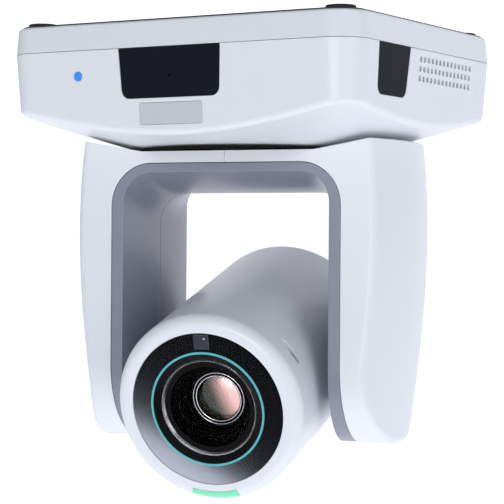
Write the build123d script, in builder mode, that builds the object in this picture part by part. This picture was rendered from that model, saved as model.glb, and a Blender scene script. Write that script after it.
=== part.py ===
from build123d import *
import os
from math import atan2, cos, degrees, pi, radians, sin, sqrt, tan

# A pan-tilt-zoom camera hanging under a ceiling.  Millimetres, X to the right seen from the front,
# Y to the back, Z up.  The origin is the centre of the mounting face, on the pan axis.

# ---- resting pose ----
rest_pan = 11.0            # yoke turned towards +X, degrees
rest_tilt = 15.9           # lens turned below level, degrees

# ---- base housing ----
base_width = 180.0
base_depth = 145.0
base_corner = 15.0
base_wall = 2.2
seam_z = -12.7             # parting line between the two base shells
seam_gap = 0.2
top_inset = 1.0            # the upper shell leans in by this much at its top
top_round = 1.2
wall_draft = 4.7           # lean of the lower walls, degrees
belly_z = -55.5            # flat middle of the underside
belly_slope = 0.29
belly_flat_radius = 53.0   # where the flat middle would meet the cone
belly_blend = 60.0
belly_edge_round = 3.0
fit_gap = 0.15             # gap round a piece let into a wall

# ---- mounting plate, feet and screws ----
plate_thickness = 1.5
plate_proud = 0.8
plate_margin = 2.0         # upper shell's rim beside the plate
plate_corner = 12.0
ledge_width = 9.0
ledge_thickness = 2.0
tripod_radius = 3.175
tripod_depth = 9.5
tripod_boss_radius = 7.0
bolt_spacing_x = 80.0
bolt_spacing_y = 60.0
bolt_hole_radius = 2.1
nut_radius = 4.0
nut_height = 5.0
foot_radius = 6.5
foot_height = 1.6
foot_x = 77.0
foot_y = 60.0
foot_peg_radius = 2.5
case_screw_x = 80.0
case_screw_y = 42.0
case_screw_radius = 1.5
case_screw_head = 2.9
case_screw_length = 20.0
case_post_radius = 4.2
screw_clearance = 0.05
driver_slot_length = 3.4
driver_slot_width = 0.7
plate_edge_round = 0.4

# ---- windows, light, badge and vents in the base walls ----
window_depth = 22.0        # height of each dark window below the seam
window_corner = 4.2
window_sink = 0.2
window_thickness = 2.0
front_window_width = 52.2
front_window_taper = 1.2   # narrowing on each side
front_middle = -1.0        # middle of the front window and the badge on X
side_window_width = 30.0
side_window_taper = 1.7
side_window_y = -34.5
receiver_z = -25.3
receiver_hole = 0.7
receiver_width = 8.0
receiver_height = 7.0
receiver_depth = 4.5
led_x = -49.2
led_z = -24.1
led_radius = 2.1
led_proud = 0.4
led_length = 5.0
badge_width = 32.0
badge_height = 9.4
badge_z = -41.7
badge_thickness = 1.0
badge_corner = 1.0
vent_columns = 14
vent_rows = 3
vent_pitch_y = 3.88
vent_pitch_z = 4.25
vent_y = 16.5
vent_z = -21.15
vent_width = 2.3
vent_height = 2.4

# ---- sockets at the back ----
panel_width = 128.0
panel_height = 22.0
panel_z = -25.5
panel_thickness = 2.0
panel_lip = 2.0
board_z = -15.0            # upper face of the main board
board_thickness = 1.6
board_width = 140.0
board_depth = 104.0
socket_gap = 0.2
socket_length = 16.0
socket_proud = 0.5
standoff_radius = 2.8
standoff_screw_radius = 1.4
board_standoffs = ((-62, -30), (62, -30), (-62, 40), (62, 40))
# Chips under the main board: place on X and Y, width, depth and height.
board_parts = (
    (24, 8, 22, 22, 2.2),
    (24, -16, 11, 13, 1.2),
    (40, -16, 11, 13, 1.2),
    (-14, 34, 14, 14, 1.6),
    (50, 12, 12, 12, 4.0),
    (50, 28, 8, 8, 9.0),
    (-56, 24, 9, 9, 5.0),
    (6, -32, 16, 5, 1.8),
)

# ---- pan drive ----
hub_radius = 24.0
hub_bore = 14.0
hub_top = -42.0
bush_wall = 4.0
bush_flange = 33.0
bush_flange_height = 2.0
running_gap = 0.05
pan_gear_teeth = 72
pan_pinion_teeth = 14
pan_module = 1.0
pan_gear_height = 5.0
motor_radius = 19.0
motor_height = 14.0
motor_shaft_radius = 2.5
deck_z = -36.0             # underside of the deck that carries the pan motor
deck_thickness = 1.5
deck_width = 130.0
deck_depth = 92.0
deck_post_x = 58.0
deck_post_y = 38.0
deck_post_radius = 4.0
deck_screw_radius = 1.3
deck_screw_length = 8.0
motor_bore_share = 0.7     # how far the shaft's bore goes into a motor
hub_flange_height = 2.0
pressure_angle = 25.0
addendum = 0.9             # of the module
dedendum = 1.2
gear_backlash = 0.1        # taken off each tooth at the pitch circle
flank_steps = 3

# ---- yoke ----
yoke_depth = 80.0
yoke_top = -56.5
yoke_flat_radius = 56.4
yoke_rim_radius = 78.0
yoke_rim_z = -51.6
yoke_belly_radius = 80.2
yoke_belly_z = -88.0
yoke_taper_radius = 77.7
yoke_taper_z = -139.0
yoke_toe_radius = 71.7
yoke_bottom = -187.0
yoke_bottom_round = 35.0
yoke_wall = 2.2
yoke_crease_round = 3.5
yoke_top_round = 0.8
yoke_hole_radius = 27.0
cover_seam = 0.15
liner_seam = 0.35
liner_half_width = 54.0
liner_top = -62.0
liner_corner = 19.0
liner_gap = 0.3
liner_wall = 2.0
liner_sink = 0.25
mouth_half_width = 48.8
mouth_top = -65.7
mouth_corner = 14.0
throat_half_width = 46.5   # narrowest place of the opening, midway front to back
throat_top = -74.1
mouth_steps = 2            # sections of the opening on each side of the middle

# ---- tilt drive ----
tilt_z = -153.75
frame_thickness = 2.0
frame_x = 57.0             # inner face of each frame arm
frame_arm_width = 44.0
frame_bar_width = 56.0
frame_top_gap = 0.5
frame_bottom = -176.0
hub_screw_circle = 19.0
hub_screw_radius = 1.3
hub_screw_bite = 5.0
cover_screw_x = 63.0
cover_screw_z = (-78.0, -143.0)
cover_boss_radius = 4.0
tab_reach = 10.0
tab_height = 12.0
tilt_bush_lip = 1.5
tilt_motor_shaft = 2.0
tilt_shaft_radius = 6.0
tilt_shaft_bore = 3.0
tilt_shaft_end = 63.0
tilt_bush_wall = 2.0
tilt_bush_flange = 10.5
liner_hole_radius = 8.5
tilt_gear_teeth = 60
tilt_pinion_teeth = 14
tilt_module = 0.8
tilt_gear_x = 51.6
tilt_gear_height = 4.4
tilt_motor_radius = 16.0
tilt_motor_height = 13.0

# ---- head ----
head_radius = 42.6
head_front = 61.7          # front face ahead of the tilt axis
head_back = 61.7
head_wall = 2.2
head_front_round = 5.0
head_back_round = 10.0
cap_depth = 10.5           # rear cap's length along the head
cap_lip = 3.0
bezel_radius = 34.75
bezel_sink = 0.4
bezel_thickness = 2.0
seat_depth = 3.0
accent_radius = 26.2
accent_width = 0.9
accent_proud = 0.25
collar_radius = 16.0
collar_gap = 0.4
dimple_back = 14.75        # recess on the barrel, behind the front face
dimple_angle = 33.5        # above the +X side, degrees
sensor_window_width = 6.8
sensor_window_low = 27.5
sensor_window_high = 34.0
tally_half_angle = 15.5
tally_low = 38.2
tally_depth = 5.0
tally_thickness = 1.6
seat_width = 2.4
dimple_depth = 2.0
dimple_lean = -9.0         # its floor falls towards the lower end, where it opens the wall
dimple_width = 4.6
dimple_length = 13.0
head_post_x = 19.0
head_post_radius = 3.2
cap_screw_radius = 1.2
cap_screw_head = 2.3
cap_screw_length = 8.0
image_board_y = 40.0
image_board_size = 55.0

# ---- lens block ----
lens_mouth = 24.9          # radius of the well inside the accent ring
trim_radius = 21.4
trim_width = 0.7
trim_sink = 2.2
front_lens_radius = 19.6
front_lens_bulge = 3.4
front_lens_edge = 2.0
lens_tube_radius = 15.4
lens_tube_bore = 13.0
lens_tube_start = 13.5     # behind the front face
lens_tube_end = 72.0
zoom_lens_radius = 10.6
zoom_start = 15.0
zoom_travel = 12.0
focus_start = 42.0
focus_travel = 8.0
carriage_length = 6.0
lens_flange_half_x = 33.0
lens_flange_half_z = 18.0
lens_flange_thickness = 2.0
ear_x = 33.0
ear_thickness = 3.0
ear_half_z = 15.0
trim_depth = 1.4
lens_seat_gap = 0.6
lens_lip = 1.0
lens_lip_slope = 0.45      # the lip's back follows the glass
hood_tail = 3.0
hood_wall = 1.2
front_lens_hollow = 0.6
funnel_ribs = 7
funnel_wall = 2.0
drive_arm = 3.0
drive_gap = 3.6
lens_motor_width = 12.0
lens_motor_height = 6.5
carriage_lip = 0.8
carriage_seat = 0.3        # the seat's slope, clear of the lens's curved face
inner_lens_edge = 1.6
inner_lens_bulge = 1.6
image_sensor_width = 14.0
image_sensor_height = 11.0
image_sensor_thickness = 1.4
sensor_board_size = 34.0
frame_plate_gap = 4.0

# Sockets along the back: place on X, outer width and height, opening (one value is a round hole's
# radius), and how deep the opening goes.
sockets = {
    "dc_jack": {"x": -52.0, "size": (9.5, 11.0), "hole": (3.0,), "depth": 10.0},
    "serial_socket": {"x": -36.0, "size": (14.0, 13.0), "hole": (4.75,), "depth": 7.0},
    "hdmi_socket": {"x": -16.5, "size": (17.0, 7.4), "hole": (14.2, 4.8), "depth": 10.0},
    "usb_socket": {"x": 1.5, "size": (12.2, 10.8), "hole": (8.8, 7.8), "depth": 10.0},
    "lan_socket": {"x": 20.5, "size": (16.2, 13.4), "hole": (12.0, 8.6), "depth": 12.0},
    "video_socket": {"x": 40.0, "size": (12.0, 12.0), "hole": (3.4,), "depth": 12.0},
    "audio_socket": {"x": 56.0, "size": (9.0, 11.5), "hole": (1.8,), "depth": 12.0},
}
bnc_radius = 4.8           # the video socket's barrel stands out of the panel
bnc_reach = 8.0


os.makedirs("parts", exist_ok=True)

yoke_place = Location((0, 0, 0), (0, 0, rest_pan))
head_place = yoke_place * Location((0, 0, tilt_z)) * Location((0, 0, 0), (rest_tilt, 0, 0))


def write_piece(piece, label, place=Location()):
    """Put a finished piece where it rests and write it under its own name."""
    placed = piece.part.moved(place)
    placed.label = label
    export_step(placed, f"parts/{label}.step")


# ---------------------------------------------------------------- base housing
seam_low = seam_z - seam_gap / 2
seam_high = seam_z + seam_gap / 2
wall_lean = tan(radians(wall_draft))
loft_depth = 45.0


def lower_body(inset):
    """The lower base's outer form, or its hollow when inset by the wall."""
    with BuildPart() as body:
        with BuildSketch(Plane.XY.offset(seam_low)):
            RectangleRounded(base_width - 2 * inset, base_depth - 2 * inset, base_corner - inset)
        lean = 2 * (inset + loft_depth * wall_lean)
        with BuildSketch(Plane.XY.offset(seam_low - loft_depth)):
            RectangleRounded(base_width - lean, base_depth - lean, base_corner - lean / 2)
        loft(ruled=True)
        cone_reach = base_width
        cone_z = belly_z + belly_slope * (cone_reach - belly_flat_radius) + inset
        with BuildSketch(Plane.XZ):
            with BuildLine():
                Polyline(
                    (0, 0),
                    (0, belly_z + inset),
                    (belly_flat_radius, belly_z + inset),
                    (cone_reach, cone_z),
                    (cone_reach, 0),
                    (0, 0),
                )
            make_face()
            corner = Vector(belly_flat_radius, belly_z + inset)
            belly_corner = vertices().sort_by(lambda v: (Vector(v.X, v.Y) - corner).length)[0]
            fillet(belly_corner, belly_blend)
        revolve(axis=Axis.Z, mode=Mode.INTERSECT)
        if inset == 0:
            rim = edges().filter_by(lambda e: e.bounding_box().max.Z < seam_low - window_depth)
            outer_rim = rim.filter_by(lambda e: sqrt(e.center().X**2 + e.center().Y**2) > base_depth / 3)
            fillet(outer_rim.filter_by(lambda e: e.bounding_box().size.Z < 15), belly_edge_round)
    return body.part


lower_outer = lower_body(0)
lower_hollow = lower_body(base_wall)


def lower_skin(outer_inset, inner_inset):
    """A layer of the lower base's wall between two depths below its surface."""
    with BuildPart() as layer:
        add(lower_body(outer_inset))
        add(lower_body(inner_inset), mode=Mode.SUBTRACT)
    return layer.part


def window_outline(width, taper, top, grow):
    """Dark window's outline, narrowing downwards with rounded lower corners."""
    half = width / 2 + grow
    low = seam_low - window_depth - grow
    with BuildSketch() as outline:
        with BuildLine():
            Polyline((-half, top), (half, top), (half - taper, low), (taper - half, low), close=True)
        make_face()
        fillet(vertices().group_by(Axis.Y)[0], window_corner)
    return outline.sketch


window_layer = lower_skin(window_sink, window_sink + window_thickness)
badge_layer = lower_skin(0, badge_thickness)
shell_front = base_depth / 2
shell_side = base_width / 2
window_top = (seam_low + seam_high) / 2
cut_reach = 12.0           # how far a wall cutter runs inwards from the outer face

with BuildPart() as upper_shell:
    with BuildSketch(Plane.XY.offset(seam_high)):
        RectangleRounded(base_width, base_depth, base_corner)
    with BuildSketch(Plane.XY.offset(-plate_proud)):
        RectangleRounded(base_width - 2 * top_inset, base_depth - 2 * top_inset, base_corner - top_inset)
    loft(ruled=True)
    fillet(faces().sort_by(Axis.Z)[-1].outer_wire().edges(), top_round)
    plate_width = base_width - 2 * (top_inset + plate_margin)
    plate_depth = base_depth - 2 * (top_inset + plate_margin)
    with BuildSketch(Plane.XY.offset(-plate_thickness)):
        RectangleRounded(plate_width + 2 * fit_gap, plate_depth + 2 * fit_gap, plate_corner + fit_gap)
    extrude(amount=plate_thickness, mode=Mode.SUBTRACT)
    ledge_low = -plate_thickness - ledge_thickness
    with BuildSketch(Plane.XY.offset(seam_high)):
        RectangleRounded(base_width - 2 * base_wall, base_depth - 2 * base_wall, base_corner - base_wall)
    extrude(amount=ledge_low - seam_high, mode=Mode.SUBTRACT)
    with BuildSketch(Plane.XY.offset(ledge_low)):
        RectangleRounded(plate_width - 2 * ledge_width, plate_depth - 2 * ledge_width, plate_corner / 2)
    extrude(amount=ledge_thickness, mode=Mode.SUBTRACT)
    with BuildSketch(Plane.XY.offset(seam_high)):
        with GridLocations(2 * case_screw_x, 2 * case_screw_y, 2, 2):
            Circle(case_post_radius)
    extrude(amount=ledge_low - seam_high)
    with BuildSketch(Plane.XY.offset(seam_high)):
        with GridLocations(2 * case_screw_x, 2 * case_screw_y, 2, 2):
            Circle(case_screw_radius + screw_clearance)
    extrude(amount=-seam_high, mode=Mode.SUBTRACT)
write_piece(upper_shell, "upper_shell")

with BuildPart() as base_posts:
    with BuildSketch(Plane.XY.offset(deck_z)):
        with GridLocations(2 * deck_post_x, 2 * deck_post_y, 2, 2):
            Circle(deck_post_radius)
    extrude(amount=belly_z - deck_z)
    with BuildSketch(Plane.XY.offset(seam_low)):
        with GridLocations(2 * case_screw_x, 2 * case_screw_y, 2, 2):
            Circle(case_post_radius)
    extrude(amount=belly_z - seam_low)
    add(lower_outer, mode=Mode.INTERSECT)

with BuildPart() as badge_pocket:
    with BuildSketch(Plane.XZ.offset(shell_front - cut_reach)):
        with Locations((front_middle, badge_z)):
            RectangleRounded(badge_width + 2 * fit_gap, badge_height + 2 * fit_gap, badge_corner + fit_gap)
    extrude(amount=2 * cut_reach)
    add(lower_skin(0, badge_thickness + fit_gap), mode=Mode.INTERSECT)

hub_clear_radius = hub_radius + running_gap + bush_wall + running_gap
with BuildPart() as lower_shell:
    add(lower_outer)
    add(lower_hollow, mode=Mode.SUBTRACT)
    add(base_posts.part)
    with BuildSketch(Plane.XZ.offset(shell_front - cut_reach)):
        with Locations((front_middle, 0)):
            add(window_outline(front_window_width, front_window_taper, window_top, fit_gap))
        with Locations((led_x, led_z)):
            Circle(led_radius + fit_gap)
    extrude(amount=2 * cut_reach, mode=Mode.SUBTRACT)
    for turn in (1, -1):
        with BuildSketch(Plane(origin=(turn * (shell_side - cut_reach), side_window_y, 0),
                               x_dir=(0, 1, 0), z_dir=(1, 0, 0))):
            add(window_outline(side_window_width, side_window_taper, window_top, fit_gap))
        extrude(amount=turn * 2 * cut_reach, mode=Mode.SUBTRACT)
        with BuildSketch(Plane(origin=(turn * (shell_side - cut_reach), vent_y, vent_z),
                               x_dir=(0, 1, 0), z_dir=(1, 0, 0))):
            with GridLocations(vent_pitch_y, vent_pitch_z, vent_columns, vent_rows):
                RectangleRounded(vent_width, vent_height, vent_width / 3)
        extrude(amount=turn * 2 * cut_reach, mode=Mode.SUBTRACT)
    add(badge_pocket.part, mode=Mode.SUBTRACT)
    with BuildSketch(Plane.XZ.offset(-shell_front - cut_reach)):
        with Locations((0, panel_z)):
            RectangleRounded(panel_width - 2 * panel_lip, panel_height - 2 * panel_lip, panel_lip)
    extrude(amount=2 * cut_reach, mode=Mode.SUBTRACT)
    with BuildSketch(Plane.XY.offset(belly_z)):
        Circle(hub_clear_radius)
    extrude(amount=2 * base_wall, mode=Mode.SUBTRACT)
    with BuildSketch(Plane.XY.offset(deck_z)):
        with GridLocations(2 * deck_post_x, 2 * deck_post_y, 2, 2):
            Circle(deck_screw_radius + screw_clearance)
    extrude(amount=-deck_screw_length, mode=Mode.SUBTRACT)
    with BuildSketch(Plane.XY.offset(seam_low)):
        with GridLocations(2 * case_screw_x, 2 * case_screw_y, 2, 2):
            Circle(case_screw_radius + screw_clearance)
    extrude(amount=-case_screw_length - seam_low, mode=Mode.SUBTRACT)
write_piece(lower_shell, "lower_shell")

with BuildPart() as front_window:
    with BuildSketch(Plane.XZ.offset(shell_front - cut_reach)):
        with Locations((front_middle, 0)):
            add(window_outline(front_window_width, front_window_taper, seam_low, 0))
        with Locations((front_middle, receiver_z)):
            Circle(receiver_hole, mode=Mode.SUBTRACT)
    extrude(amount=2 * cut_reach)
    add(window_layer, mode=Mode.INTERSECT)
write_piece(front_window, "front_window")

with BuildPart() as side_windows:
    for turn in (1, -1):
        with BuildSketch(Plane(origin=(turn * (shell_side - cut_reach), side_window_y, 0),
                               x_dir=(0, 1, 0), z_dir=(1, 0, 0))):
            add(window_outline(side_window_width, side_window_taper, seam_low, 0))
        extrude(amount=turn * 2 * cut_reach)
    add(window_layer, mode=Mode.INTERSECT)
write_piece(side_windows, "side_windows")

with BuildPart() as badge_plate:
    with BuildSketch(Plane.XZ.offset(shell_front - cut_reach)):
        with Locations((front_middle, badge_z)):
            RectangleRounded(badge_width, badge_height, badge_corner)
    extrude(amount=2 * cut_reach)
    add(badge_layer, mode=Mode.INTERSECT)
write_piece(badge_plate, "badge_plate")

led_face = shell_front - wall_lean * (seam_low - led_z)
with BuildPart() as status_led:
    with BuildSketch(Plane.XZ.offset(led_face - led_length)):
        with Locations((led_x, led_z)):
            Circle(led_radius)
    extrude(amount=led_length + led_proud)
    fillet(faces().sort_by(Axis.Y)[0].edges(), led_proud)
write_piece(status_led, "status_led")

with BuildPart() as receiver:
    receiver_face = shell_front - wall_lean * (seam_low - receiver_z) - window_sink - window_thickness
    with BuildSketch(Plane.XZ.offset(receiver_face - receiver_depth - 2 * fit_gap)):
        with Locations((front_middle, receiver_z)):
            RectangleRounded(receiver_width, receiver_height, 1)
    extrude(amount=receiver_depth)
write_piece(receiver, "infrared_receiver")

with BuildPart() as mount_plate:
    with BuildSketch(Plane.XY.offset(-plate_thickness)):
        RectangleRounded(plate_width, plate_depth, plate_corner)
    extrude(amount=plate_thickness)
    fillet(faces().sort_by(Axis.Z)[-1].edges(), plate_edge_round)
    with BuildSketch(Plane.XY.offset(-plate_thickness)):
        Circle(tripod_boss_radius)
    extrude(amount=plate_thickness - tripod_depth)
    with BuildSketch(Plane.XY.offset(-plate_thickness)):
        with GridLocations(bolt_spacing_x, bolt_spacing_y, 2, 2):
            Circle(nut_radius)
    extrude(amount=-nut_height)
    with BuildSketch():
        Circle(tripod_radius)
        with GridLocations(bolt_spacing_x, bolt_spacing_y, 2, 2):
            Circle(bolt_hole_radius)
    extrude(amount=-tripod_depth, mode=Mode.SUBTRACT)
    with Locations(Plane.XY):
        with GridLocations(2 * case_screw_x, 2 * case_screw_y, 2, 2):
            CounterSinkHole(
                case_screw_radius + screw_clearance, case_screw_head + screw_clearance, depth=plate_thickness
            )
    with BuildSketch():
        with GridLocations(2 * foot_x, 2 * foot_y, 2, 2):
            Circle(foot_peg_radius)
    extrude(amount=-plate_thickness, mode=Mode.SUBTRACT)
write_piece(mount_plate, "mount_plate")

with BuildPart() as rubber_feet:
    with BuildSketch():
        with GridLocations(2 * foot_x, 2 * foot_y, 2, 2):
            Circle(foot_radius)
    extrude(amount=foot_height)
    fillet(faces().group_by(Axis.Z)[-1].edges(), foot_height / 4)
    with BuildSketch():
        with GridLocations(2 * foot_x, 2 * foot_y, 2, 2):
            Circle(foot_peg_radius)
    extrude(amount=-plate_thickness)
write_piece(rubber_feet, "rubber_feet")

with BuildPart() as case_screws:
    with GridLocations(2 * case_screw_x, 2 * case_screw_y, 2, 2):
        Cylinder(case_screw_radius, case_screw_length, align=(Align.CENTER, Align.CENTER, Align.MAX))
        Cone(
            case_screw_radius,
            case_screw_head,
            case_screw_head - case_screw_radius,
            align=(Align.CENTER, Align.CENTER, Align.MAX),
        )
    with BuildSketch():
        with GridLocations(2 * case_screw_x, 2 * case_screw_y, 2, 2):
            Rectangle(driver_slot_length, driver_slot_width)
            Rectangle(driver_slot_width, driver_slot_length)
    extrude(amount=-driver_slot_width, mode=Mode.SUBTRACT)
write_piece(case_screws, "case_screws")

# ---------------------------------------------------------------- boards and sockets
board_low = board_z - board_thickness
panel_low = panel_z - panel_height / 2
panel_face = shell_front - base_wall - wall_lean * (seam_low - panel_low) - fit_gap
socket_front = panel_face + socket_proud


with BuildPart() as socket_panel:
    with BuildSketch(Plane.XZ.offset(-panel_face)):
        with Locations((0, panel_z)):
            RectangleRounded(panel_width, panel_height, panel_lip)
        for spec in sockets.values():
            with Locations((spec["x"], board_low - spec["size"][1] / 2)):
                Rectangle(
                    spec["size"][0] + 2 * socket_gap, spec["size"][1] + 2 * socket_gap, mode=Mode.SUBTRACT
                )
    extrude(amount=panel_thickness)
write_piece(socket_panel, "socket_panel")

for label, spec in sockets.items():
    width, height = spec["size"]
    middle = board_low - height / 2
    with BuildPart() as socket:
        with BuildSketch(Plane.XZ.offset(-socket_front)):
            with Locations((spec["x"], middle)):
                Rectangle(width, height)
        extrude(amount=socket_length)
        if label == "video_socket":
            with BuildSketch(Plane.XZ.offset(-socket_front)):
                with Locations((spec["x"], middle)):
                    Circle(bnc_radius)
            extrude(amount=-bnc_reach)
        mouth = socket_front + (bnc_reach if label == "video_socket" else 0)
        with BuildSketch(Plane.XZ.offset(-mouth)):
            with Locations((spec["x"], middle)):
                if len(spec["hole"]) == 1:
                    Circle(spec["hole"][0])
                else:
                    Rectangle(*spec["hole"])
        extrude(amount=spec["depth"], mode=Mode.SUBTRACT)
    write_piece(socket, label)

with BuildPart() as main_board:
    with BuildSketch(Plane.XY.offset(board_low)):
        with Locations((0, socket_front - socket_length / 2 - board_depth / 2)):
            RectangleRounded(board_width, board_depth, 2)
        with Locations(*board_standoffs):
            Circle(standoff_screw_radius, mode=Mode.SUBTRACT)
    extrude(amount=board_thickness)
    for x, y, width, depth, height in board_parts:
        with BuildSketch(Plane.XY.offset(board_low)):
            with Locations((x, y)):
                Rectangle(width, depth)
        extrude(amount=-height)
write_piece(main_board, "main_board")

with BuildPart() as board_posts:
    with BuildSketch(Plane.XY.offset(board_z)):
        with Locations(*board_standoffs):
            RegularPolygon(standoff_radius, 6)
    extrude(amount=-plate_thickness - board_z)
    with BuildSketch(Plane.XY.offset(board_z)):
        with Locations(*board_standoffs):
            Circle(standoff_screw_radius)
    extrude(amount=-board_thickness)
write_piece(board_posts, "board_standoffs")

# ---------------------------------------------------------------- gears


def involute_point(base_radius, radius):
    """Angle from where the flank leaves its base circle to a radius on the flank."""
    if radius <= base_radius:
        return 0.0
    grown = sqrt((radius / base_radius) ** 2 - 1)
    return grown - atan2(grown, 1)


def gear_outline(teeth, module, first_tooth):
    """Spur gear outline about the sketch's origin; first_tooth is one tooth's angle in degrees."""
    pitch_radius = module * teeth / 2
    base_radius = pitch_radius * cos(radians(pressure_angle))
    tip_radius = pitch_radius + addendum * module
    root_radius = pitch_radius - dedendum * module
    half_tooth = pi / (2 * teeth) - gear_backlash / (2 * pitch_radius)
    half_tooth += involute_point(base_radius, pitch_radius)
    flank_start = max(base_radius, root_radius)
    flank = [root_radius] if base_radius > root_radius else []
    flank += [
        flank_start + (tip_radius - flank_start) * step / flank_steps for step in range(flank_steps + 1)
    ]
    points = []
    for tooth in range(teeth):
        middle = radians(first_tooth) + 2 * pi * tooth / teeth
        sides = [(r, half_tooth - involute_point(base_radius, r)) for r in flank]
        for r, away in sides:
            points.append((r * cos(middle - away), r * sin(middle - away)))
        for r, away in reversed(sides):
            points.append((r * cos(middle + away), r * sin(middle + away)))
    with BuildSketch() as outline:
        with BuildLine():
            Polyline(*points, close=True)
        make_face()
    return outline.sketch


def meshing_tooth(teeth, other_teeth, other_tooth):
    """Where this gear's tooth must stand, from the line to the other gear, for the two to mesh."""
    return 180 / teeth - other_tooth * other_teeth / teeth


# ---------------------------------------------------------------- pan drive
floor_z = belly_z + base_wall
bush_top = floor_z + bush_flange_height
pan_gear_low = bush_top + 2 * running_gap
pan_centres = pan_module * (pan_gear_teeth + pan_pinion_teeth) / 2
bush_radius = hub_radius + running_gap + bush_wall
hub_low = yoke_top - yoke_wall - frame_top_gap

with BuildPart() as pan_bush:
    with BuildSketch(Plane.XY.offset(belly_z + running_gap)):
        Circle(bush_radius)
    extrude(amount=bush_top - belly_z - running_gap)
    with BuildSketch(Plane.XY.offset(floor_z)):
        Circle(bush_flange)
    extrude(amount=bush_flange_height)
    with BuildSketch(Plane.XY.offset(belly_z)):
        Circle(hub_radius + running_gap)
    extrude(amount=bush_top - belly_z, mode=Mode.SUBTRACT)
write_piece(pan_bush, "pan_bush")

with BuildPart() as deck:
    with BuildSketch(Plane.XY.offset(deck_z)):
        RectangleRounded(deck_width, deck_depth, 6)
        Circle(hub_radius + bush_wall, mode=Mode.SUBTRACT)
        with Locations((-pan_centres, 0)):
            Circle(2 * motor_shaft_radius, mode=Mode.SUBTRACT)
        with GridLocations(2 * deck_post_x, 2 * deck_post_y, 2, 2):
            Circle(deck_screw_radius + screw_clearance, mode=Mode.SUBTRACT)
    extrude(amount=deck_thickness)
write_piece(deck, "motor_deck")

with BuildPart() as deck_screws:
    with Locations(Plane.XY.offset(deck_z + deck_thickness)):
        with GridLocations(2 * deck_post_x, 2 * deck_post_y, 2, 2):
            Cylinder(2 * deck_screw_radius, deck_screw_radius, align=(Align.CENTER, Align.CENTER, Align.MIN))
            Cylinder(
                deck_screw_radius,
                deck_screw_length,
                align=(Align.CENTER, Align.CENTER, Align.MAX),
            )
write_piece(deck_screws, "deck_screws")

with BuildPart() as pan_motor:
    with BuildSketch(Plane.XY.offset(deck_z + deck_thickness)):
        with Locations((-pan_centres, 0)):
            Circle(motor_radius)
    extrude(amount=motor_height)
    fillet(faces().sort_by(Axis.Z)[-1].edges(), 1.5)
    with BuildSketch(Plane.XY.offset(deck_z + deck_thickness)):
        with Locations((-pan_centres, 0)):
            Circle(motor_shaft_radius + running_gap)
    extrude(amount=motor_height * motor_bore_share, mode=Mode.SUBTRACT)
write_piece(pan_motor, "pan_motor")

pan_tooth = rest_pan - 180
with BuildPart() as pan_pinion:
    with BuildSketch(Plane.XY.offset(pan_gear_low)):
        pinion_tooth = meshing_tooth(pan_pinion_teeth, pan_gear_teeth, pan_tooth)
        with Locations((-pan_centres, 0)):
            add(gear_outline(pan_pinion_teeth, pan_module, pinion_tooth))
    extrude(amount=pan_gear_height)
    with BuildSketch(Plane.XY.offset(pan_gear_low)):
        with Locations((-pan_centres, 0)):
            Circle(motor_shaft_radius)
    extrude(amount=deck_z + deck_thickness + motor_height * motor_bore_share - pan_gear_low - 1)
write_piece(pan_pinion, "pan_pinion")

with BuildPart() as pan_gear:
    with BuildSketch(Plane.XY.offset(pan_gear_low)):
        add(gear_outline(pan_gear_teeth, pan_module, 0))
        Circle(hub_radius, mode=Mode.SUBTRACT)
    extrude(amount=pan_gear_height)
write_piece(pan_gear, "pan_gear", yoke_place)

with BuildPart() as pan_hub:
    with BuildSketch(Plane.XY.offset(hub_low)):
        Circle(yoke_hole_radius - liner_gap)
    extrude(amount=hub_flange_height)
    with BuildSketch(Plane.XY.offset(hub_low)):
        Circle(hub_radius)
    extrude(amount=hub_top - hub_low)
    with BuildSketch(Plane.XY.offset(hub_low)):
        Circle(hub_bore)
    extrude(amount=hub_top - hub_low, mode=Mode.SUBTRACT)
    with BuildSketch(Plane.XY.offset(hub_low)):
        with PolarLocations(hub_screw_circle, 4, 45):
            Circle(hub_screw_radius + screw_clearance)
    extrude(amount=hub_screw_bite + fit_gap, mode=Mode.SUBTRACT)
write_piece(pan_hub, "pan_hub", yoke_place)

# ---------------------------------------------------------------- yoke


def side_profile(inset):
    """The yoke seen from the side: straight front and back, rounded below."""
    half = yoke_depth / 2 - inset
    low = yoke_bottom + inset
    top = yoke_rim_z + base_wall
    with BuildSketch() as outline:
        with BuildLine():
            Polyline((-half, top), (half, top), (half, low), (-half, low), close=True)
        make_face()
        fillet(vertices().group_by(Axis.Y)[0], yoke_bottom_round - inset)
    return outline.sketch


def yoke_body(inset):
    """The yoke's outer form with no opening: turned about the pan axis, then cut to its depth."""
    rim = (yoke_rim_radius - inset, yoke_rim_z - inset)
    widest = (yoke_belly_radius - inset, yoke_belly_z)
    taper = (yoke_taper_radius - inset, yoke_taper_z)
    toe = (yoke_toe_radius - inset, yoke_bottom)
    with BuildPart() as body:
        with BuildSketch(Plane.XZ):
            with BuildLine():
                Polyline((0, yoke_bottom), (0, yoke_top - inset), (yoke_flat_radius, yoke_top - inset), rim)
                Spline(rim, widest, taper, toe)
                Line(toe, (0, yoke_bottom))
            make_face()
        revolve(axis=Axis.Z)
        with BuildSketch(Plane.YZ):
            add(side_profile(inset))
        extrude(amount=2 * yoke_rim_radius, both=True, mode=Mode.INTERSECT)
        if inset == 0:
            creases = edges().filter_by(lambda e: abs(e.center().X) > yoke_flat_radius - 2)
            fillet(creases.filter_by(lambda e: e.center().Z < yoke_top), yoke_crease_round)
            fillet(faces().sort_by(Axis.Z)[-1].edges().sort_by(Axis.Z)[-1], yoke_top_round)
    return body.part


def arch_outline(half_width, top, corner):
    """The opening's outline: an arch that is open well below the yoke."""
    low = yoke_bottom - yoke_wall
    with BuildSketch() as outline:
        with BuildLine():
            Polyline((-half_width, low), (-half_width, top), (half_width, top), (half_width, low), close=True)
        make_face()
        fillet(vertices().group_by(Axis.Y)[-1], corner)
    return outline.sketch


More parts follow.
